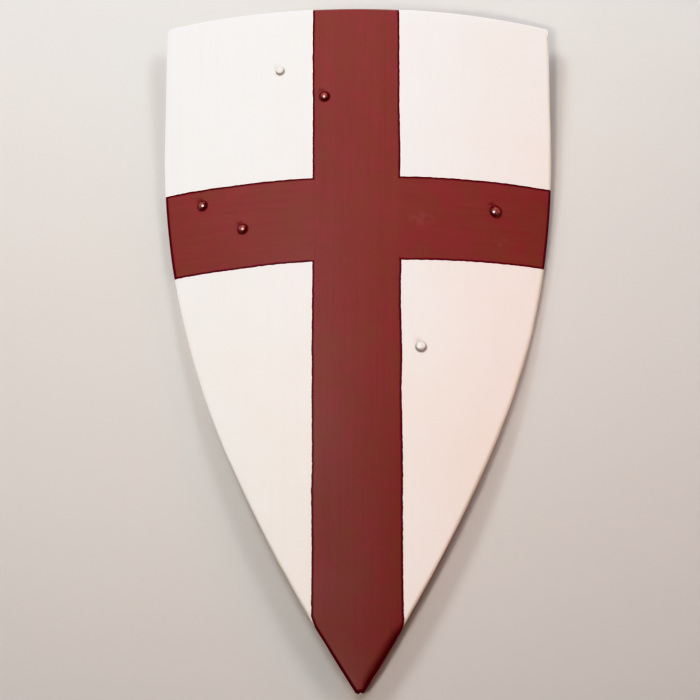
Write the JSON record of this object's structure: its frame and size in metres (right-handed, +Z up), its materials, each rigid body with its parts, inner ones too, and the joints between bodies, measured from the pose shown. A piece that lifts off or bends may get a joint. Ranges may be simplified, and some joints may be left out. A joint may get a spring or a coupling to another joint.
{
  "type": "heater shield",
  "caption": "Bent wooden heater shield with a painted cross, domed rivets and leather arm and hand straps behind, lying face up",
  "frame": {"origin": "Centre of the bounding box at the surface that the shield lies on", "axes": "+Y towards the top edge, +Z up out of the painted face, X across; the shield lies face up on its two side edges, with its tip and its top edge a little off the surface"},
  "size_m": [0.4574, 0.8112, 0.0862],
  "materials": {
    "painted_wood": "satin paint, plain varnished wood behind",
    "strap_leather": "waxed",
    "painted_rivet": "heads painted with the ground, tails bare",
    "steel_washer": "dull"
  },
  "bodies": {
    "root": {"shield_board": "painted_wood", "hand_strap_outer": "strap_leather", "hand_strap_inner": "strap_leather", "forearm_strap": "strap_leather", "rivet_1_a": "painted_rivet", "rivet_1_b": "painted_rivet", "rivet_2_a": "painted_rivet", "rivet_2_b": "painted_rivet", "rivet_3_a": "painted_rivet", "rivet_3_b": "painted_rivet", "washer_1_a": "steel_washer", "washer_1_b": "steel_washer", "washer_2_a": "steel_washer", "washer_2_b": "steel_washer", "washer_3_a": "steel_washer", "washer_3_b": "steel_washer"}
  },
  "joints": []
}
